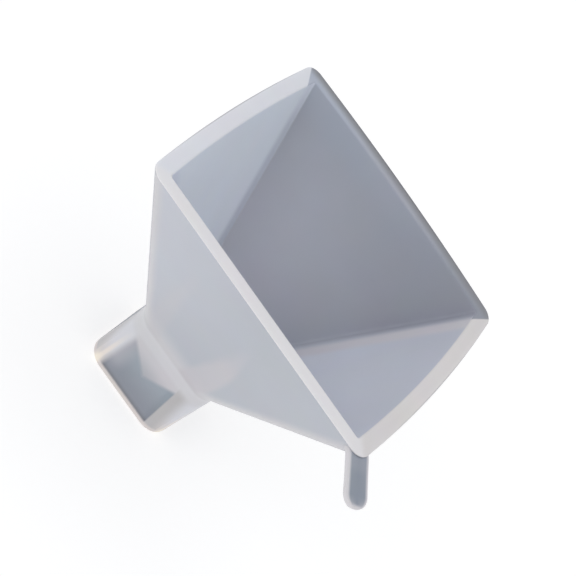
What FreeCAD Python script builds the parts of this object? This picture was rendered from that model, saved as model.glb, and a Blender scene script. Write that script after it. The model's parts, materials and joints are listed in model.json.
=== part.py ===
import FreeCAD, Part
import math
import os

# A one-piece silicone mould for casting a square resin pyramid. It stands on a hollow square foot
# with its mouth up, and a short pull tab grows from one corner of the rim.
# Lengths are in mm and angles in degrees. +Z is up, -Y is the front, and the origin is on the
# surface that the mould stands on, under the point of the cavity.

# Cavity
mouth_side = 60.0           # side of the square mouth
mouth_height = 59.5         # height of the mouth over the surface the foot stands on
point_flat = 2.0            # side of the small flat that blunts the point of the cavity
point_floor = 1.9           # silicone under that flat

# Silicone round the cavity
rim_width = 3.6             # flat top face of the rim, from the cavity outwards
rim_height = 3.2            # height of the stiff band that carries the rim face
rim_corner = 3.2            # outer corner radius at the rim
lower_wall = 2.9            # level thickness of the wall where the foot takes over
side_bow = {                # how far the soft rim stands out in the middle of each side
    "right": 1.4,
    "back": 1.1,
    "left": 1.0,
    "front": 0.0,
}

# Foot
foot_side = 24.0            # outside of the hollow square foot
foot_wall = 2.3             # thickness of its walls at their ends; they thicken upwards
foot_corner = 4.5           # outer corner radius
foot_hollow = 9.6           # height of the groove between the foot's walls and the pyramid's point
groove_top_side = 14.8      # side of the square line at the top of the groove
groove_top_corner = 0.8     # corner radius of that line
pad_side = 2.2              # flat end of the pyramid's point, level with the end of the foot
pad_corner = 0.3

# Pull tab
tab_width = 5.6
tab_thickness = 1.2
tab_reach = 9.4             # from the rounded corner of the rim to the end of the tab
tab_below_rim = 1.0         # from the rim face down to the top of the tab
tab_root_length = 1.8       # stub that stays with the rim
tab_droop = 12.5            # how far the tab hangs below level at rest
tab_clearance = 0.15        # gap between the stub and the moving strip

side_names = ("right", "back", "left", "front")     # a quarter turn apart, starting at +X

mouth_half = mouth_side / 2
rim_half = mouth_half + rim_width
foot_half = foot_side / 2
foot_inner_half = foot_half - foot_wall
foot_inner_corner = max(foot_corner - foot_wall, 0.3)
groove_top_half = groove_top_side / 2
point_half = point_flat / 2
rise = (mouth_height - point_floor) / (mouth_half - point_half)     # height for each mm of half width
collar_top = point_floor + (foot_half - lower_wall - point_half) * rise
rim_bottom = mouth_height - rim_height
margin = 1.0                                        # cutting bodies run past what they cut by this
reach = 2 * rim_half


def bowed_section(half, corner, height, bows):
    """Square outline with rounded corners, each side an arc that stands out by its bow."""
    edges = []
    for turn, side in enumerate(side_names):
        flat = half - corner
        angle = math.radians(90 * turn)

        def place(x, y):
            return FreeCAD.Vector(
                x * math.cos(angle) - y * math.sin(angle),
                x * math.sin(angle) + y * math.cos(angle),
                height,
            )

        start = place(half, -flat)
        end = place(half, flat)
        bow = bows.get(side, 0.0)
        if bow > 0:
            edges.append(Part.Arc(start, place(half + bow, 0), end).toShape())
        else:
            edges.append(Part.LineSegment(start, end).toShape())
        if corner > 0:
            across = flat + corner * math.cos(math.radians(45))
            edges.append(Part.Arc(end, place(across, across), place(flat, half)).toShape())
    return Part.Wire(edges)


def tapered(lower, upper):
    """Closed solid with straight sides from the lower outline to the upper one."""
    return Part.makeLoft([lower, upper], True, True)


def slab(bottom, top):
    """Level slice that reaches past the mould on every side."""
    return Part.makeBox(2 * reach, 2 * reach, top - bottom, FreeCAD.Vector(-reach, -reach, bottom))


def quarter(turn):
    """Upright wedge that holds one side of the mould, between the mitres of its two corners."""
    corners = [
        FreeCAD.Vector(0, 0, -margin),
        FreeCAD.Vector(reach, -reach, -margin),
        FreeCAD.Vector(reach, reach, -margin),
        FreeCAD.Vector(0, 0, -margin),
    ]
    wedge = Part.Face(Part.makePolygon(corners))
    wedge = wedge.extrude(FreeCAD.Vector(0, 0, mouth_height + 2 * margin))
    wedge.rotate(FreeCAD.Vector(0, 0, 0), FreeCAD.Vector(0, 0, 1), 90 * turn)
    return wedge


def square_prism(half, corner, bottom, top):
    """Upright square bar with rounded corners."""
    outline = Part.Face(bowed_section(half, corner, bottom, {}))
    return outline.extrude(FreeCAD.Vector(0, 0, top - bottom))


def cavity_body():
    """The resin pyramid: everything inside the mould, from its blunt point up to the mouth."""
    lower = bowed_section(point_half, 0, point_floor, {})
    return tapered(lower, bowed_section(mouth_half, 0, mouth_height, side_bow))


def pyramid_body():
    """Outside of the mould above the foot, without its cavity."""
    lower = bowed_section(foot_half, foot_corner, collar_top, {})
    return tapered(lower, bowed_section(rim_half, rim_corner, mouth_height, side_bow))


def groove_top():
    """Line where the foot's inner face meets the outside of the point."""
    return bowed_section(groove_top_half, groove_top_corner, foot_hollow, {})


def foot_opening():
    """Space inside the foot's walls, point included, narrowing upwards."""
    return tapered(bowed_section(foot_inner_half, foot_inner_corner, 0, {}), groove_top())


def point_body():
    """Thick point of the pyramid inside the foot, from its flat end up to the top of the groove."""
    return tapered(bowed_section(pad_side / 2, pad_corner, 0, {}), groove_top())


def tab_outline(start, end):
    """Level strip along +X between two distances, the far end a half circle, top at z = 0."""
    half = tab_width / 2
    straight_end = end - half
    corners = [
        Part.LineSegment(FreeCAD.Vector(start, -half, 0), FreeCAD.Vector(straight_end, -half, 0)),
        Part.Arc(
            FreeCAD.Vector(straight_end, -half, 0),
            FreeCAD.Vector(end, 0, 0),
            FreeCAD.Vector(straight_end, half, 0),
        ),
        Part.LineSegment(FreeCAD.Vector(straight_end, half, 0), FreeCAD.Vector(start, half, 0)),
        Part.LineSegment(FreeCAD.Vector(start, half, 0), FreeCAD.Vector(start, -half, 0)),
    ]
    face = Part.Face(Part.Wire([edge.toShape() for edge in corners]))
    return face.extrude(FreeCAD.Vector(0, 0, -tab_thickness))


# The tab is drawn along +X with its hinge line on the Y axis, then turned onto the diagonal.
corner_distance = (rim_half - rim_corner) * math.sqrt(2) + rim_corner
hinge_distance = corner_distance + tab_root_length
hinge_height = mouth_height - tab_below_rim - tab_thickness / 2
tab_turn = -45.0            # the tab's corner is at +X, -Y


def place_tab(shape):
    """Move a shape from the hinge line's own axes to the corner of the rim."""
    shape.translate(FreeCAD.Vector(hinge_distance, 0, hinge_height))
    shape.rotate(FreeCAD.Vector(0, 0, 0), FreeCAD.Vector(0, 0, 1), tab_turn)
    return shape


def tab_root_body(outside):
    """Stub of the tab from the rounded corner of the rim to just short of the hinge line."""
    half = tab_thickness / 2
    length = tab_root_length + rim_corner
    end = -half - tab_clearance
    stub = Part.makeBox(
        length,
        tab_width,
        tab_thickness,
        FreeCAD.Vector(end - length, -tab_width / 2, -half),
    )
    return place_tab(stub).cut(outside)


def tab_body():
    """Strip that bends: rounded about the hinge line, straight, then a half-round end."""
    half = tab_thickness / 2
    strip = tab_outline(0, tab_reach - tab_root_length)
    strip.translate(FreeCAD.Vector(0, 0, half))
    knuckle = Part.makeCylinder(
        half,
        tab_width,
        FreeCAD.Vector(0, -tab_width / 2, 0),
        FreeCAD.Vector(0, 1, 0),
    )
    strip = strip.fuse(knuckle).removeSplitter()
    strip.rotate(FreeCAD.Vector(0, 0, 0), FreeCAD.Vector(0, 1, 0), tab_droop)
    return place_tab(strip)


def build():
    """Every node's solid, by name."""
    cavity = cavity_body()
    outside = pyramid_body()
    shell = outside.cut(cavity)
    foot_bar = square_prism(foot_half, foot_corner, 0, collar_top)
    bands = {
        "rim": shell.common(slab(rim_bottom, mouth_height + margin)),
        "wall": shell.common(slab(collar_top, rim_bottom)),
        "collar": foot_bar.common(slab(foot_hollow, collar_top)).cut(cavity),
        "foot": foot_bar.common(slab(0, foot_hollow)).cut(foot_opening()),
    }
    nodes = {}
    for band_name, band in bands.items():
        for turn, side in enumerate(side_names):
            nodes[band_name + "_" + side] = band.common(quarter(turn))
    nodes["cavity_point"] = point_body().cut(cavity)
    nodes["tab_root"] = tab_root_body(outside)
    nodes["pull_tab"] = tab_body()
    return nodes


os.makedirs("parts", exist_ok=True)
for node_name, shape in build().items():
    solids = shape.Solids
    if len(solids) != 1 or not solids[0].isValid():
        raise ValueError(node_name + " is not one sound solid")
    solids[0].exportStep("parts/" + node_name + ".step")
    print(node_name, round(solids[0].Volume, 1), "mm3")

hinge = FreeCAD.Rotation(FreeCAD.Vector(0, 0, 1), tab_turn).multVec(
    FreeCAD.Vector(hinge_distance, 0, hinge_height)
)
print("hinge line through", [round(value, 3) for value in hinge])
print("collar from", foot_hollow, "to", round(collar_top, 3))
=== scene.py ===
import bpy
import json
import math
import numpy as np
from mathutils import Matrix, Vector


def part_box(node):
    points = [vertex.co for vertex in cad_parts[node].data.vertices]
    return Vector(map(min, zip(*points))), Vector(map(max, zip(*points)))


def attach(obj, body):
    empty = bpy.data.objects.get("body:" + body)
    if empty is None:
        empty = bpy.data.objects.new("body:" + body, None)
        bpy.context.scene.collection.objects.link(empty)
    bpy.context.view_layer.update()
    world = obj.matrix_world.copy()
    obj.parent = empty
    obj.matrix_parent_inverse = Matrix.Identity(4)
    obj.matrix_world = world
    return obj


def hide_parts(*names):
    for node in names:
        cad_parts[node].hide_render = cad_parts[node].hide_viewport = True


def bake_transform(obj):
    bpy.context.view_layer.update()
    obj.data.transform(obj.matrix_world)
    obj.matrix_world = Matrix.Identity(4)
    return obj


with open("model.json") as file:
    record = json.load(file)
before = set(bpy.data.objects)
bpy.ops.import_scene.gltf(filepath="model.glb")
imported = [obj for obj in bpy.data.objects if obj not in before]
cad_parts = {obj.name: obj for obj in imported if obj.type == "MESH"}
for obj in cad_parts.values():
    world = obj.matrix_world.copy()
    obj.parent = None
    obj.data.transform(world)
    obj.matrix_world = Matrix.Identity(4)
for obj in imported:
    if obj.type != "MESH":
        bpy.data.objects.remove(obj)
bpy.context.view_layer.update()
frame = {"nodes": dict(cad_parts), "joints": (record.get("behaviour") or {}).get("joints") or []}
millimetre = 0.001


# places read from the frame, in mm
def sideFace(node, axis, end):
    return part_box(node)[end][axis] / millimetre


rimTop = sideFace("rim_front", 2, 1)
rimHalf = -sideFace("rim_front", 1, 0)
collarTop = sideFace("collar_front", 2, 1)
hollowTop = sideFace("foot_front", 2, 1)
footHalf = -sideFace("foot_front", 1, 0)
sideBow = {    # how far the soft rim stands out in the middle of each side
    "right": sideFace("rim_right", 0, 1) - rimHalf,
    "back": sideFace("rim_back", 1, 1) - rimHalf,
    "left": -sideFace("rim_left", 0, 0) - rimHalf,
    "front": 0.0,
}
tabHinge = Vector(frame["joints"][0]["pos_m"])
print("frame read: rim", rimHalf, "top", rimTop, "bows", sideBow)


# mesh tools
def evenPoints(start, end, longest):
    # points from after the start to the end, in even steps no longer than "longest"
    steps = max(1, int(math.ceil(np.linalg.norm(end - start) / longest)))
    return start + (end - start) * (np.arange(1, steps + 1) / steps)[:, None]


def roundedLine(points, radii, longest, bendSteps):
    # A line through the points. Each inner point gives way to a quadratic bend,
    # (1-t)^2 start + 2t(1-t) corner + t^2 end, that begins and ends one radius from the corner.
    points = np.array(points, float)
    pieces = [points[:1]]
    last = points[0]
    t = (np.arange(1, bendSteps + 1) / bendSteps)[:, None]
    for here, after, radius in zip(points[1:-1], points[2:], radii):
        into = (here - last) / np.linalg.norm(here - last)
        away = (after - here) / np.linalg.norm(after - here)
        start = here - into * radius
        end = here + away * radius
        pieces.append(evenPoints(last, start, longest))
        pieces.append((1 - t) ** 2 * start + 2 * t * (1 - t) * here + t ** 2 * end)
        last = end
    pieces.append(evenPoints(last, points[-1], longest))
    return np.concatenate(pieces)


def squareLoops(half, corner, bows, sideSteps, cornerSteps):
    # Rings round the Z axis, one for each half width. A side is half + bow(1-s^2) out from the axis and
    # s(half-corner) along; a corner is an arc of its radius. The four quarters are the same, turned.
    half = np.asarray(half, float)[:, None]
    corner = np.minimum(np.asarray(corner, float)[:, None], half)
    s = np.linspace(-1, 1, sideSteps + 1)[None, :]
    arc = np.linspace(0, math.pi / 2, cornerSteps + 1)[None, 1:-1]
    rings = []
    for quarter, bow in enumerate(bows):
        bow = np.asarray(bow, float)[:, None]
        out = half + bow * (1 - s ** 2)
        along = s * (half - corner)
        cornerOut = half - corner + corner * np.cos(arc)
        cornerAlong = half - corner + corner * np.sin(arc)
        x = np.concatenate([out, cornerOut], axis=1)
        y = np.concatenate([along, cornerAlong], axis=1)
        turn = quarter * math.pi / 2
        rings.append(np.stack([
            x * math.cos(turn) - y * math.sin(turn),
            x * math.sin(turn) + y * math.cos(turn),
        ], axis=-1))
    return np.concatenate(rings, axis=1)


def addObject(name, data):
    thing = bpy.data.objects.new(name, data)
    bpy.context.scene.collection.objects.link(thing)
    return thing


def gridMesh(name, rings):
    # Quads between neighbouring rings, and a fan of triangles from each end ring to its middle.
    rows, columns = rings.shape[:2]
    index = np.arange(rows * columns).reshape(rows, columns)
    beside = np.roll(index, -1, axis=1)
    quads = np.stack([index[:-1], beside[:-1], beside[1:], index[1:]], axis=-1).reshape(-1, 4)
    poles = np.array([rings[0].mean(axis=0), rings[-1].mean(axis=0)])
    vertices = np.concatenate([rings.reshape(-1, 3), poles])
    firstPole = np.full(columns, rows * columns)
    firstFan = np.stack([beside[0], index[0], firstPole], axis=-1)
    lastFan = np.stack([index[-1], beside[-1], firstPole + 1], axis=-1)
    mesh = bpy.data.meshes.new(name)
    mesh.from_pydata((vertices * millimetre).tolist(), [],
                     quads.tolist() + firstFan.tolist() + lastFan.tolist())
    mesh.polygons.foreach_set("use_smooth", np.ones(len(mesh.polygons), bool))
    mesh.update()
    return addObject(name, mesh)


# shader tools
class Value:
    # Wraps a socket, so that an expression on it adds Math nodes.
    def __init__(self, tree, socket):
        self.tree = tree
        self.socket = socket

    def node(self, kind, settings=None, inputs=None, output=0):
        made = self.tree.nodes.new(kind)
        for key, value in (settings or {}).items():
            setattr(made, key, value)
        for key, value in (inputs or {}).items():
            if isinstance(value, Value):
                self.tree.links.new(value.socket, made.inputs[key])
            else:
                made.inputs[key].default_value = value
        return Value(self.tree, made.outputs[output])

    def maths(self, operation, *values):
        return self.node("ShaderNodeMath", {"operation": operation}, dict(enumerate(values)))

    def __add__(self, other):
        return self.maths("ADD", self, other)

    def __radd__(self, other):
        return self.maths("ADD", other, self)

    def __sub__(self, other):
        return self.maths("SUBTRACT", self, other)

    def __rsub__(self, other):
        return self.maths("SUBTRACT", other, self)

    def __neg__(self):
        return self.maths("SUBTRACT", 0.0, self)

    def __mul__(self, other):
        return self.maths("MULTIPLY", self, other)

    def __rmul__(self, other):
        return self.maths("MULTIPLY", other, self)

    def __truediv__(self, other):
        return self.maths("DIVIDE", self, other)

    def size(self):
        return self.maths("ABSOLUTE", self)

    def sign(self):
        return self.maths("SIGN", self)

    def least(self, other):
        return self.maths("MINIMUM", self, other)

    def most(self, other):
        return self.maths("MAXIMUM", self, other)

    def smooth(self, low, high):
        # 0 below low, 1 above high, and a smooth step between them
        return self.node(
            "ShaderNodeMapRange",
            {"interpolation_type": "SMOOTHSTEP"},
            {"Value": self, "From Min": low, "From Max": high},
        )

    def fade(self, low, high):
        # 1 below low, 0 above high, and a smooth step between them
        return 1.0 - self.smooth(low, high)

    def mix(self, first, second):
        # this value takes the colour from the first to the second
        return self.node(
            "ShaderNodeMix",
            {"data_type": "RGBA"},
            {"Factor": self, 6: first, 7: second},
            output=2,
        )


def linear(red, green, blue):
    # display colour, 0 to 255, as linear light: ((c + 0.055) / 1.055)^2.4
    return tuple(((c / 255 + 0.055) / 1.055) ** 2.4 for c in (red, green, blue)) + (1.0,)


def newMaterial(name):
    material = bpy.data.materials.new(name)
    material.use_nodes = True
    tree = material.node_tree
    shader = next(n for n in tree.nodes if n.type == "BSDF_PRINCIPLED")
    return material, tree, shader


def coordinates(tree):
    # object coordinates in mm as three values, and the vector itself in metres
    start = Value(tree, None)
    vector = start.node("ShaderNodeTexCoord", output=3)
    parts = [start.node("ShaderNodeSeparateXYZ", None, {0: vector}, output=i) for i in range(3)]
    return vector, [part * 1000.0 for part in parts]


siliconeLook = {
    "clouds": 0.10,
    "tint": 0.05,
    "bump": 0.08,
    "bumpDepth": 0.0001,   # m
    "roughness": 0.42,
    "uneven": 0.18,        # how much the clouds change the roughness
    "subsurface": 0.25,
    "radius": (1.0, 1.0, 1.05),
    "scatter": 1.5,        # mm
    "bending": 1.41,       # refractive index of silicone
    "gloss": 0.4,
    "haze": 0.15,
    "hazeRoughness": 0.5,
    "hazeTint": (0.95, 0.96, 1.0, 1.0),
    "cloudNoise": {"Scale": 45.0, "Detail": 3.0, "Roughness": 0.55},
    "tintNoise": {"Scale": 110.0, "Detail": 2.0, "Roughness": 0.5},
    "fineNoise": {"Scale": 900.0, "Detail": 2.0, "Roughness": 0.5},
}


def finishSilicone(tree, shader, colour, alpha, vector):
    # colour and alpha, with soft clouds and slight tints in the silicone, a fine bump and uneven gloss
    look = siliconeLook
    start = Value(tree, None)
    cloud = start.node("ShaderNodeTexNoise", None, {"Vector": vector, **look["cloudNoise"]})
    tint = start.node("ShaderNodeTexNoise", None, {"Vector": vector, **look["tintNoise"]}, output=1)
    channels = [start.node("ShaderNodeSeparateXYZ", None, {0: tint}, output=i) for i in range(3)]
    cloudy = (cloud - 0.5) * look["clouds"] + 1.0
    shades = [(channel - 0.5) * look["tint"] + cloudy for channel in channels]
    soft = start.node("ShaderNodeCombineXYZ", None, dict(enumerate(shades)))
    tinted = start.node("ShaderNodeVectorMath", {"operation": "MULTIPLY"}, {0: colour, 1: soft})
    tree.links.new(tinted.socket, shader.inputs["Base Color"])
    fine = start.node("ShaderNodeTexNoise", None, {"Vector": vector, **look["fineNoise"]})
    bump = start.node(
        "ShaderNodeBump", None,
        {"Strength": look["bump"], "Distance": look["bumpDepth"], "Height": fine})
    tree.links.new(bump.socket, shader.inputs["Normal"])
    rough = cloud * look["uneven"] + (look["roughness"] - look["uneven"] / 2)
    tree.links.new(rough.socket, shader.inputs["Roughness"])
    if alpha is not None:
        tree.links.new(alpha.socket, shader.inputs["Alpha"])
    shader.inputs["Subsurface Weight"].default_value = look["subsurface"]
    shader.inputs["Subsurface Radius"].default_value = look["radius"]
    shader.inputs["Subsurface Scale"].default_value = look["scatter"] * millimetre
    shader.inputs["IOR"].default_value = look["bending"]
    shader.inputs["Specular IOR Level"].default_value = look["gloss"]
    shader.inputs["Sheen Weight"].default_value = look["haze"]
    shader.inputs["Sheen Roughness"].default_value = look["hazeRoughness"]
    shader.inputs["Sheen Tint"].default_value = look["hazeTint"]


# Outside of the walls. A pair is where one colour starts to give way to the next and where it has.
wallLook = {
    "topLeft": linear(193, 196, 205),
    "top": linear(181, 185, 193),
    "topAcross": (-30.0, 8.0),           # x, from the left colour to the other
    "low": linear(204, 203, 206),
    "lowHeights": (0.0, 8.0),            # over the collar
    "wedge": linear(197, 194, 199),      # light wedges that the valleys of the cavity show
    "wedgeStart": (0.14, 0.27),          # as a share of half the side
    "wedgeEnd": (0.68, 0.77),
    "wedgeLean": 0.7,                    # how far its end leans in over the wall's height
    "wedgeFade": (0.35, 0.75),           # as a share of the wall's height
    "wedgeStrength": 0.85,
    "wedgeLoss": 0.6,                    # how much of that the fade takes away
    "faintStart": (0.34, 0.48),          # the fainter wedge on the other half of the side
    "faintEnd": (0.72, 0.90),
    "faintLean": 0.56,
    "faintStrength": 0.4,
    "milky": linear(202, 201, 204),      # beside the four corners
    "milkyWidth": (2.4, 5.4),
    "corner": linear(182, 182, 187),     # painted shade: a thin darker line along the very edge of each corner
    "cornerWidth": (0.6, 1.8),
    "cornerHeights": (1.0, 9.0),         # over the collar
}

# Outside of the foot, with heights from its end.
footLook = {
    "start": (-0.6, 0.2),                # over the collar, where the wall's colours take over
    "tip": linear(177, 178, 184),
    "overPoint": linear(207, 205, 209),
    "overPointHeights": (8.5, 14.0),
    "junction": linear(213, 212, 216),
    "junctionHeights": (14.0, 15.4),
    "middle": (-0.5, 0.5),               # between the two halves of a side
    # the window, where the thin wall shows the hollow: partly seen through, partly painted with the hollow's
    # shade
    "window": linear(156, 168, 179),
    "windowLow": linear(137, 143, 156),
    "windowHeights": (2.5, 13.0),
    "windowEndShade": linear(116, 119, 130),
    "windowEndHeights": (1.6, 3.0),
    "windowEdge": 8.0,                   # along the side, the crisp edge at the foot's end
    "windowLean": 0.13,                  # how far that edge leans in for each mm of height
    "crisp": (-0.25, 0.25),              # softness of that edge
    "softEdge": (7.0, 8.9),              # along the side, the window's other edge
    "haze": linear(192, 191, 201),
    "hazeAlong": (3.4, 8.6),
    "hazeHeights": (1.8, 6.5),
    "pointShift": 0.6,                   # the point's V stands this far from the middle of the side
    "pointSlope": 0.66,                  # how fast it rises to both sides
    "pointHeights": (7.9, 9.5),
    "side": linear(218, 218, 224),
    "sideEnd": linear(217, 210, 207),
    "sideEndHeights": (1.0, 8.0),
    "sideTop": (13.0, 16.0),
    "warm": linear(190, 188, 189),       # next to the window's crisp edge
    "warmWidth": (1.4, 4.4),
    # painted highlight: a glint along the inner corner seen through the wall
    "glint": linear(244, 234, 224),
    "glintAlong": 9.2,
    "glintWidth": (0.15, 0.75),
    "glintHeights": (0.5, 15.0),
    "glintStrength": 0.9,
    "end": linear(220, 212, 209),
    "endHeights": (1.1, 1.9),
    "highlightSpot": linear(250, 240, 224),       # painted highlight spot where the glint reaches the foot's end
    "spotAlong": 9.3,
    "spotWidth": (0.2, 1.5),
    "spotHeights": (0.8, 3.6),
    "clearness": 0.2,                    # how much of the light goes through the window
}


def alongSide(x, y):
    # signed distance along the side that a point is on, the same way round on all four:
    # y times the sign of x where x is the larger of the two, and otherwise -x times the sign of y
    onX = (x.size() - y.size()).smooth(-0.01, 0.01)
    return y * x.sign() * onX - x * y.sign() * (1.0 - onX)


def overCollar(heights):
    # heights over the collar, as heights over the ground
    return [collarTop + height for height in heights]


def footColour(along, across, z):
    # Colour of the foot's outside, and how far a place is the window, under the V of the point. The V is
    # where z minus the distance from its middle times its slope is the same.
    look = footLook
    right = along.smooth(*look["middle"])
    slant = along - (look["windowEdge"] - z * look["windowLean"])     # from the window's crisp edge
    beside = right * slant.smooth(*look["crisp"]) + (1.0 - right) * across.smooth(*look["softEdge"])
    foot = z.smooth(*look["overPointHeights"]).mix(look["tip"], look["overPoint"])
    foot = z.smooth(*look["junctionHeights"]).mix(foot, look["junction"])
    window = z.smooth(*look["windowHeights"]).mix(look["windowLow"], look["window"])
    window = z.smooth(*look["windowEndHeights"]).mix(look["windowEndShade"], window)
    haze = (-along).smooth(*look["hazeAlong"]) * z.smooth(*look["hazeHeights"])
    window = haze.mix(window, look["haze"])
    vee = z - (along + look["pointShift"]).size() * look["pointSlope"]
    belowPoint = vee.fade(*look["pointHeights"]) * (1.0 - beside)
    foot = belowPoint.mix(foot, window)
    side = beside * z.fade(*look["sideTop"])
    sideColour = z.smooth(*look["sideEndHeights"]).mix(look["sideEnd"], look["side"])
    warm = right * slant.fade(*look["warmWidth"])
    sideColour = warm.mix(sideColour, look["warm"])
    foot = side.mix(foot, sideColour)
    glint = (along + look["glintAlong"]).size().fade(*look["glintWidth"]) * z.fade(*look["glintHeights"])
    foot = (glint * look["glintStrength"]).mix(foot, look["glint"])
    end = z.fade(*look["endHeights"])
    foot = end.mix(foot, look["end"])
    highlightSpot = (along + look["spotAlong"]).size().fade(*look["spotWidth"]) * z.fade(*look["spotHeights"])
    foot = highlightSpot.mix(foot, look["highlightSpot"])
    return foot, belowPoint * (1.0 - end)


# Outside of the walls and the foot: lighter where the silicone is thick, towards the four corners and at the
# foot's end, and thin enough to see into the foot. The very edge of each corner carries painted shade, the
# window into the foot is partly seen through and partly painted with the hollow's shade, and the foot
# carries a painted glint and highlight spot.
def outerSilicone():
    material, tree, shader = newMaterial("outerSilicone")
    vector, (x, y, z) = coordinates(tree)
    look = wallLook
    across = x.size().least(y.size())
    outward = x.size().most(y.size())
    fromCorner = outward - across                         # 0 on the corner, larger towards the middle
    top = x.smooth(*look["topAcross"]).mix(look["topLeft"], look["top"])
    body = z.smooth(*overCollar(look["lowHeights"])).mix(look["low"], top)
    along = alongSide(x, y)
    rise = (z - collarTop) / (rimTop - collarTop)
    share = along / (rise * (rimHalf - footHalf) + footHalf)      # -1 to 1 over the side
    wedge = share.smooth(*look["wedgeStart"]) * (share + rise * look["wedgeLean"]).fade(*look["wedgeEnd"])
    wedge = wedge * (look["wedgeStrength"] - rise.smooth(*look["wedgeFade"]) * look["wedgeLoss"])
    faint = (-share).smooth(*look["faintStart"]) * (rise * look["faintLean"] - share).fade(*look["faintEnd"])
    body = wedge.most(faint * look["faintStrength"]).mix(body, look["wedge"])
    milky = fromCorner.fade(*look["milkyWidth"])
    body = milky.mix(body, look["milky"])
    # painted shade along the very edge of each corner
    edge = fromCorner.fade(*look["cornerWidth"]) * z.smooth(*overCollar(look["cornerHeights"]))
    body = edge.mix(body, look["corner"])
    foot, window = footColour(along, across, z)
    onFoot = z.fade(*overCollar(footLook["start"]))
    body = onFoot.mix(body, foot)
    finishSilicone(tree, shader, body, 1.0 - window * footLook["clearness"], vector)
    return material


rimLook = {
    "left": linear(229, 230, 236),
    "right": linear(224, 220, 219),
    "across": (-1.0, 1.2),               # x as a share of half the rim, from left to right
    "front": linear(235, 233, 235),
    "frontCorner": (-2.5, 0.5),          # over the mitres at the front
    "edgeLineShade": linear(142, 140, 143),   # painted shade: a thin dark line along the outer edge of the left and right sides
    "edgeLineWidth": (0.1, 0.55),
    # painted shade: the darkest line along the outer edge of the back
    "outline": linear(102, 102, 105),
    "outlineWidth": (0.3, 1.1),
    # painted shade along the back of the rim
    "backShade": linear(139, 140, 145),
    "darkWidth": (0.8, 3.9),
    "darkOffset": 0.3,                   # where the painted shade of the back starts, in from the rim's outside
    "darkSlope": 1.95,                   # and how steeply it crosses the corners
    "darkEdge": (-0.4, 0.4),
    "darkStart": (24.0, 25.0),           # y
    # painted highlight along the back's lip, fading from left to right
    "lipLeft": linear(181, 187, 201),
    "lipHighlight": linear(174, 177, 188),
    "lipAcross": (-31.0, 2.0),           # x
    "lipRight": linear(153, 157, 168),
    "lipRightAcross": (0.0, 27.0),       # x
}


def bowOut(place, bow):
    # how far a bowed side stands out from straight: bow times 1 minus the square of its place along it
    return bow * (1.0 - (place / rimHalf) * (place / rimHalf))


# Top of the rim: milky, with painted shade along the back: a dark band, a darker painted outline at its
# outer edge, and a painted highlight along the lip that fades from left to right.
def rimSilicone():
    material, tree, shader = newMaterial("rimSilicone")
    vector, (x, y, z) = coordinates(tree)
    look = rimLook
    fromEdge = y - (rimHalf - look["darkOffset"] - look["darkSlope"] * (rimHalf - x.size()))
    backShade = fromEdge.smooth(*look["darkEdge"]) * y.smooth(*look["darkStart"])
    inside = rimHalf + bowOut(x, sideBow["back"]) - y     # from the outer edge of the back side
    lipHighlight = x.smooth(*look["lipAcross"]).mix(look["lipLeft"], look["lipHighlight"])
    lipHighlight = x.smooth(*look["lipRightAcross"]).mix(lipHighlight, look["lipRight"])
    back = inside.smooth(*look["outlineWidth"]).mix(look["outline"], look["backShade"])
    back = inside.smooth(*look["darkWidth"]).mix(back, lipHighlight)
    light = x.smooth(*(rimHalf * share for share in look["across"])).mix(look["left"], look["right"])
    onFront = ((-y) - x.size()).smooth(*look["frontCorner"])
    light = onFront.mix(light, look["front"])
    right, left = sideBow["right"], sideBow["left"]
    sidewaysBow = x.sign() * ((right - left) / 2) + (right + left) / 2
    toEdge = bowOut(y, sidewaysBow) + rimHalf - x.size()
    light = toEdge.fade(*look["edgeLineWidth"]).mix(light, look["edgeLineShade"])
    body = backShade.mix(light, back)
    finishSilicone(tree, shader, body, None, vector)
    return material


cavityLook = {
    "deepTop": 24.0,                     # under this height the deep colours are full: lighter, partly for the thicker silicone and partly painted light that lifts the shade deep in the cavity
    "deepEnd": 4.0,                      # over the rim, where they would be gone
    "left": linear(219, 226, 235),
    "leftDeep": linear(226, 231, 239),
    # painted shade in the valley between the left and the back, lighter towards the top
    "leftValleyShade": linear(196, 201, 213),
    "leftValleyTop": linear(212, 216, 229),
    "leftValleyHeights": (50.0, 58.5),
    "leftValleyWidth": (1.4, 5.2),
    "back": linear(196, 196, 204),
    # painted shade on the back, darkest towards its top and its right
    "backTopShade": linear(170, 174, 184),
    "backLip": linear(174, 179, 191),
    "backLipHeights": (52.0, 58.5),
    "backRightShade": linear(157, 160, 169),
    "backAcross": (-10.0, 34.0),         # x
    # painted shade in the valley between the back and the right, lifted by painted light deep down
    "backRightValleyShade": linear(160, 162, 174),
    "backRightDeepLight": linear(177, 179, 189),
    "backRightHeights": (27.0, 48.0),
    "backRightWidth": (0.5, 5.0),
    "right": linear(202, 205, 216),
    "rightDeep": linear(219, 222, 231),
    # painted band of light beside the right valley
    "rightValleyLight": linear(217, 214, 219),
    "rightValleyStart": (1.5, 4.0),      # from the valley
    "rightValleyEnd": (6.0, 9.5),
    "rightValleyAlong": (-3.0, 3.0),     # y
    "front": linear(210, 214, 224),
    "frontValley": (-0.5, 0.5),          # over the valleys at the front
    "middle": (-0.2, 0.2),               # between the left and right halves
    "leftToBack": (-0.3, 0.4),           # over the valley between the left and the back
    "rightToBack": (-4.4, -0.5),         # and the softer one between the right and the back
}
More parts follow.
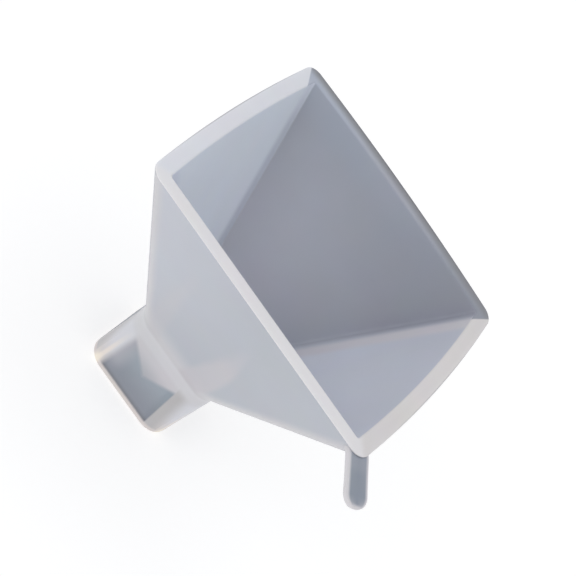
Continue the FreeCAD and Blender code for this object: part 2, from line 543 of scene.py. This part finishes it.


# Inside of the cavity: each of its four sides has its own colour, mostly painted shade: the back darkest,
# and darker again towards its top and right, with painted shade in the valleys, a painted band of light
# beside the right valley, and painted light lifting the deep parts.
def cavitySilicone():
    material, tree, shader = newMaterial("cavitySilicone")
    vector, (x, y, z) = coordinates(tree)
    look = cavityLook
    fromBack = y - x.size()
    leftBlend = fromBack.smooth(*look["leftToBack"])
    rightBlend = fromBack.smooth(*look["rightToBack"])
    towardsFront = ((-y) - x.size()).smooth(*look["frontValley"])
    towardsRight = x.smooth(*look["middle"])
    fromValley = x.size().most(y.size()) - x.size().least(y.size())
    deepLight = z.fade(look["deepTop"], rimTop + look["deepEnd"])
    left = deepLight.mix(look["left"], look["leftDeep"])
    leftValleyShade = z.smooth(*look["leftValleyHeights"]).mix(look["leftValleyShade"], look["leftValleyTop"])
    left = fromValley.fade(*look["leftValleyWidth"]).mix(left, leftValleyShade)
    right = deepLight.mix(look["right"], look["rightDeep"])
    back = deepLight.mix(look["backTopShade"], look["back"])
    back = z.smooth(*look["backLipHeights"]).mix(back, look["backLip"])
    back = x.smooth(*look["backAcross"]).mix(back, look["backRightShade"])
    warm = fromValley.smooth(*look["rightValleyStart"]) * fromValley.fade(*look["rightValleyEnd"])
    warm = warm * y.smooth(*look["rightValleyAlong"])
    right = warm.mix(right, look["rightValleyLight"])
    backEdge = fromValley.fade(*look["backRightWidth"]) * towardsRight
    valley = z.smooth(*look["backRightHeights"]).mix(look["backRightDeepLight"], look["backRightValleyShade"])
    back = backEdge.mix(back, valley)
    body = towardsRight.mix(leftBlend.mix(left, back), rightBlend.mix(right, back))
    body = towardsFront.mix(body, look["front"])
    finishSilicone(tree, shader, body, None, vector)
    return material


hollowLook = {
    "point": linear(240, 238, 242),
    # painted light: the point glows as if lit through the silicone
    "pointGlow": 0.25,
    # painted shade on the thin walls, darker still towards the foot's end
    "wall": linear(96, 103, 118),
    "wallEnd": linear(48, 53, 66),
    "halfway": (-0.1, 0.1),              # from the point to the wall, over the middle of the groove
    "corner": linear(214, 214, 218),
    "cornerWidth": (1.6, 3.2),
    "cornerMilk": 0.7,                   # how much of the clearness the corners lose
    "glint": linear(250, 247, 236),
    "glintFromCorner": 1.6,
    "glintWidth": (0.0, 0.8),
    "wallClearness": 0.5,
}


# Hollow of the foot: the thick point is milky and carries a painted glow, and the thin walls round it carry
# painted shade, darkest at the foot's end, with light corners and a painted highlight along them.
def hollowSilicone():
    material, tree, shader = newMaterial("hollowSilicone")
    vector, (x, y, z) = coordinates(tree)
    look = hollowLook
    grooveTop = moulding["grooveTopHalf"]
    footInner = footHalf - moulding["footWall"]
    outward = x.size().most(y.size())
    fromCorner = outward - x.size().least(y.size())
    point = moulding["padHalf"] + (grooveTop - moulding["padHalf"]) * (z / hollowTop)
    grooveHalf = footInner + (grooveTop - footInner) * (z / hollowTop)
    onWall = (outward - (point + grooveHalf) * 0.5).smooth(*look["halfway"])
    wall = z.smooth(0.0, hollowTop).mix(look["wallEnd"], look["wall"])
    corner = fromCorner.fade(*look["cornerWidth"])
    wall = corner.mix(wall, look["corner"])
    glint = (fromCorner - look["glintFromCorner"]).size().fade(*look["glintWidth"])
    wall = glint.mix(wall, look["glint"])
    body = onWall.mix(look["point"], wall)
    clear = onWall * (1.0 - corner * look["cornerMilk"]) * look["wallClearness"]
    glow = onWall.mix(look["point"], (0.0, 0.0, 0.0, 1.0))
    tree.links.new(glow.socket, shader.inputs["Emission Color"])
    shader.inputs["Emission Strength"].default_value = look["pointGlow"]
    finishSilicone(tree, shader, body, 1.0 - clear, vector)
    return material


moulding = {
    "rimWidth": 3.6,
    "footWall": 2.3,       # at the foot's end
    "grooveTopHalf": 7.4,  # where the foot's inner face meets the point
    "grooveTopCorner": 0.8,
    "padCorner": 0.3,
    "padHalf": 1.1,        # flat end of the point, level with the foot
    "pointHalf": 1.0,      # blunt bottom of the cavity
    "pointHeight": 1.9,
    "endHalf": 0.02,       # first and last ring, nearly closed
    "bends": (0.4, 0.7, 0.7, 0.9, 1.6, 0.55, 0.45, 0.7),    # softened edges, in the line's order
    "rimCorner": 3.2,
    "mouthCorner": 0.7,
    "footCorner": 4.5,
    "rimInside": 0.25,     # how far the rim's own material reaches down into the cavity
    "rimOutside": 0.3,     # and down the outside, and past the edge of the mouth
    "sideSteps": 26,       # faces along a side
    "cornerSteps": 9,      # faces round a corner
    "bendSteps": 6,        # faces over a softened edge
    "rowLength": 1.1,      # longest face up a wall
}
outerSlot, rimSlot, cavitySlot, hollowSlot = range(4)


# The moulding is one surface: from the flat end of the point, up into the hollow, down the inside of the
# foot, up its outside and the walls, over the rim and down into the cavity. That line gives a half width
# and a height for each ring, and each ring is a square loop with the bow and the corner of its height.
def makeMoulding():
    m = moulding
    footInner = footHalf - m["footWall"]
    mouthHalf = rimHalf - m["rimWidth"]
    corners = [
        (m["endHalf"], 0.0), (m["padHalf"], 0.0), (m["grooveTopHalf"], hollowTop), (footInner, 0.0),
        (footHalf, 0.0), (footHalf, collarTop), (rimHalf, rimTop), (mouthHalf, rimTop),
        (m["pointHalf"], m["pointHeight"]), (m["endHalf"], m["pointHeight"]),
    ]
    line = roundedLine(corners, m["bends"], m["rowLength"], m["bendSteps"])
    half, height = line[:, 0], line[:, 1]
    step = np.arange(len(line))
    nearGrooveTop = height > hollowTop - 1.0
    nearFootEnd = (half > footInner + 0.5) & (height < 2)
    rimStep = np.argmax(half)
    onOutside = (step > np.argmax(nearFootEnd)) & (step <= rimStep)
    afterRim = step > rimStep
    inHollow = ~onOutside & ~afterRim
    rise = np.clip((height - collarTop) / (rimTop - collarTop), 0, 1)
    inner = np.clip((height - m["pointHeight"]) / (rimTop - m["pointHeight"]), 0, 1)
    outerCorner = m["footCorner"] + (m["rimCorner"] - m["footCorner"]) * rise
    rimShare = np.clip((half - mouthHalf) / m["rimWidth"], 0, 1)
    innerCorner = m["mouthCorner"] + (m["rimCorner"] - m["mouthCorner"]) * rimShare
    groove = np.clip(height / hollowTop, 0, 1)
    onFootInside = step > np.argmax(nearGrooveTop)
    lowCorner = np.where(onFootInside, m["footCorner"] - m["footWall"], m["padCorner"])
    hollowCorner = lowCorner + (m["grooveTopCorner"] - lowCorner) * groove
    corner = np.where(onOutside, outerCorner, np.where(afterRim, innerCorner, hollowCorner))
    bowShare = np.where(onOutside, rise, np.where(afterRim, inner, 0))
    bows = [sideBow[side] * bowShare for side in ("right", "back", "left", "front")]
    loops = squareLoops(half, corner, bows, m["sideSteps"], m["cornerSteps"])
    rings = np.concatenate([loops, np.repeat(height[:, None, None], loops.shape[1], axis=1)], axis=2)
    piece = gridMesh("moulding", rings)
    columns = rings.shape[1]
    rimInside = afterRim & (height > rimTop - m["rimInside"]) & (half > mouthHalf - m["rimOutside"])
    rimOutside = onOutside & (height > rimTop - m["rimOutside"])
    kind = np.where(afterRim, cavitySlot, outerSlot)
    kind = np.where(rimInside | rimOutside, rimSlot, kind)
    kind = np.where(inHollow, hollowSlot, kind)
    perFace = np.repeat(kind[:-1], columns)
    perFace = np.concatenate([perFace, np.full(columns, hollowSlot), np.full(columns, cavitySlot)])
    for material in (outerSilicone(), rimSilicone(), cavitySilicone(), hollowSilicone()):
        piece.data.materials.append(material)
    piece.data.polygons.foreach_set("material_index", perFace.astype(np.int32))
    return piece


mouldingPiece = makeMoulding()
print("moulding made:", len(mouldingPiece.data.polygons), "faces")

pullTab = {
    "width": 5.6,
    "rootWidth": 5.4,
    "widening": (-2.0, 5.0),     # from the hinge line, where it widens to its full width
    "thickness": 1.2,
    "sideRoundness": 0.2,        # exponents of its section: with 1 and 1 it would be an ellipse,
    "faceRoundness": 0.32,       # with 0 and 0 a rectangle
    "endFullness": 0.9,          # thickness of its round end
    "endGap": 0.02,              # keeps the very end from closing
    "inside": 2.6,               # length hidden in the corner of the rim
    "stub": 1.8,                 # from the rim's corner to the hinge line
    "reach": 7.6,                # from the hinge line to the end
    "droop": 12.5,
    "droopBend": (-3.6, -1.8),   # from the hinge line, where the droop comes in
    "rows": 60,
    "endRows": 21,
    "columns": 48,
    "middleColour": linear(146, 154, 166),
    "rootShadeLift": linear(155, 161, 172),    # painted lighter where the corner of the rim shades it, to lift that shade
    "rootEnd": (-0.6, 1.2),                 # from the hinge line
    "edgeColour": linear(215, 213, 216),
    "edgeWidth": (0.35, 0.95),
}


def tabSilicone():
    material, tree, shader = newMaterial("tabSilicone")
    vector, (x, y, z) = coordinates(tree)
    start = Value(tree, None)
    edge = start.node("ShaderNodeAttribute", {"attribute_name": "edge"}, output=2)
    root = start.node("ShaderNodeAttribute", {"attribute_name": "root"}, output=2)
    body = root.mix(pullTab["middleColour"], pullTab["rootShadeLift"])
    body = edge.mix(body, pullTab["edgeColour"])
    finishSilicone(tree, shader, body, None, vector)
    return material


def shareOf(values, limits):
    # 0 at the first limit and 1 at the second, in a straight line between them
    low, high = limits
    return np.clip((values - low) / (high - low), 0, 1)


def makeTab():
    # A rounded strip along its own axis: half width is constant, then sqrt(r^2 - d^2) over the round
    # end, and its section is a superellipse. Its middle line is level inside the rim's corner and then
    # falls away by the droop.
    t = pullTab
    r = t["width"] / 2
    tiny = 0.0004                # keeps the last ring from shrinking to a point
    endTurn = np.linspace(0, math.pi / 2, t["endRows"] + 1)[1:]
    s = np.concatenate([
        np.linspace(-t["inside"] - t["stub"], t["reach"] - r, t["rows"]),
        t["reach"] - r * (1 - np.sin(endTurn)),
    ])
    into = np.clip(s - (t["reach"] - r), 0, r)
    wide = (t["rootWidth"] + (t["width"] - t["rootWidth"]) * shareOf(s, t["widening"]) ** 2) / 2
    halfWidth = np.where(into > 0, np.sqrt(np.maximum(r ** 2 - into ** 2, tiny)), wide)
    halfThick = np.sqrt(np.maximum(t["reach"] + t["endGap"] - s, tiny)) * t["endFullness"]
    halfThick = np.minimum(halfThick, t["thickness"] / 2)
    angle = np.linspace(0, 2 * math.pi, t["columns"] + 1)[:-1]
    cosine, sine = np.cos(angle), np.sin(angle)
    cx = np.sign(cosine) * np.abs(cosine) ** t["sideRoundness"]
    cz = np.sign(sine) * np.abs(sine) ** t["faceRoundness"]
    across = halfWidth[:, None] * cx[None, :]
    lift = halfThick[:, None] * cz[None, :]
    bend = shareOf(s, t["droopBend"])
    tilt = np.radians(t["droop"]) * bend * bend * (3 - 2 * bend)
    ds = np.diff(s, prepend=s[0])
    alongLine = s[0] + np.cumsum(ds * np.cos(tilt))
    dropLine = -np.cumsum(ds * np.sin(tilt))
    atHinge = np.interp(0, s, alongLine), np.interp(0, s, dropLine)
    along = (alongLine - atHinge[0])[:, None] + lift * np.sin(tilt)[:, None]
    up = (dropLine - atHinge[1])[:, None] + lift * np.cos(tilt)[:, None]
    diagonal = math.sqrt(0.5)
    hinge = np.array(tabHinge) / millimetre
    x = hinge[0] + (along + across) * diagonal
    y = hinge[1] + (-along + across) * diagonal
    rings = np.stack([x, y, hinge[2] + up], axis=-1)[:, ::-1]
    piece = gridMesh("pullTab", rings)
    toOutline = np.minimum(halfWidth[:, None] - np.abs(across), (t["reach"] - s)[:, None])
    edge = 1 - shareOf(toOutline, t["edgeWidth"])
    root = 1 - shareOf(s, t["rootEnd"])
    attributes = {
        "edge": [*edge[:, ::-1].reshape(-1), 1.0, 1.0],
        "root": [*np.repeat(root, t["columns"]), 1.0, 0.0],
    }
    for name, values in attributes.items():
        piece.data.attributes.new(name, "FLOAT", "POINT").data.foreach_set("value", values)
    piece.data.materials.append(tabSilicone())
    return piece


tabPiece = makeTab()
print("pull tab made:", len(tabPiece.data.polygons), "faces")

stageLook = {
    "floorSize": 6.0,
    "floorColour": (0.5, 0.5, 0.5, 1.0),
    "floorRoughness": 0.9,
    "floorGlow": 0.61,
    "worldColour": (0.97, 0.98, 1.0, 1.0),
    "worldStrength": 0.66,
}


def makeFloor():
    half = stageLook["floorSize"] / 2
    corners = [(-half, -half, 0), (half, -half, 0), (half, half, 0), (-half, half, 0)]
    mesh = bpy.data.meshes.new("floor")
    mesh.from_pydata(corners, [], [(0, 1, 2, 3)])
    floor = addObject("floor", mesh)
    material, tree, shader = newMaterial("floorCard")
    shader.inputs["Base Color"].default_value = stageLook["floorColour"]
    shader.inputs["Roughness"].default_value = stageLook["floorRoughness"]
    shader.inputs["Emission Color"].default_value = (1, 1, 1, 1)
    shader.inputs["Emission Strength"].default_value = stageLook["floorGlow"]
    mesh.materials.append(material)


lamps = {
    "key": {"from": (-0.55, -0.75, 0.75), "size": 0.7, "watts": 1.6},
    "fill": {"from": (0.8, -0.35, 0.55), "size": 0.8, "watts": 0.3},
    "top": {"from": (0.1, 0.25, 1.1), "size": 0.9, "watts": 1.5},
}
lampTarget = (0, 0, 0.03)


def aim(thing, place, target, roll=0.0):
    # stands the thing at the place, its -Z towards the target, rolled about that line
    forward = (Vector(target) - Vector(place)).normalized()
    turn = forward.to_track_quat("-Z", "Y").to_matrix().to_4x4()
    thing.matrix_world = Matrix.Translation(place) @ turn @ Matrix.Rotation(roll, 4, "Z")


def makeLamps():
    for name, lamp in lamps.items():
        light = bpy.data.lights.new(name, "AREA")
        light.size = lamp["size"]
        light.energy = lamp["watts"]
        aim(addObject(name, light), lamp["from"], lampTarget)
    world = bpy.data.worlds.new("softbox")
    world.use_nodes = True
    background = world.node_tree.nodes["Background"]
    background.inputs["Color"].default_value = stageLook["worldColour"]
    background.inputs["Strength"].default_value = stageLook["worldStrength"]
    bpy.context.scene.world = world


viewpoint = {
    "target": (0.0011, -0.0037, 0.04695),
    "distance": 0.350,
    "azimuth": 4.32,       # degrees from +Y towards +X that the camera looks
    "elevation": 36.32,    # degrees it looks down
    "roll": 57.15,         # degrees the camera is turned about its line of sight
    "lens": 108.8,         # mm, on a sensor this wide
    "sensor": 36.0,
}


def makeCamera():
    v = viewpoint
    azimuth = math.radians(v["azimuth"])
    elevation = math.radians(v["elevation"])
    forward = Vector((
        math.sin(azimuth) * math.cos(elevation),
        math.cos(azimuth) * math.cos(elevation),
        -math.sin(elevation),
    ))
    data = bpy.data.cameras.new("camera")
    data.lens = v["lens"]
    data.sensor_width = v["sensor"]
    camera = addObject("camera", data)
    standpoint = Vector(v["target"]) - forward * v["distance"]
    aim(camera, standpoint, v["target"], math.radians(v["roll"]))
    bpy.context.scene.camera = camera


makeFloor()
makeLamps()
makeCamera()
bpy.context.scene.view_settings.view_transform = "Standard"
print("stage ready")

# the moulding rides on its body; the tab's piece stays fixed where it was made, and the CAD pieces they
# replace are hidden
mouldNodes = [node for node in frame["nodes"] if node != "pull_tab"]
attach(mouldingPiece, "mould")
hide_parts(*[node for node in mouldNodes if node != "tab_root"])
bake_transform(tabPiece)
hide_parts("tab_root", "pull_tab")
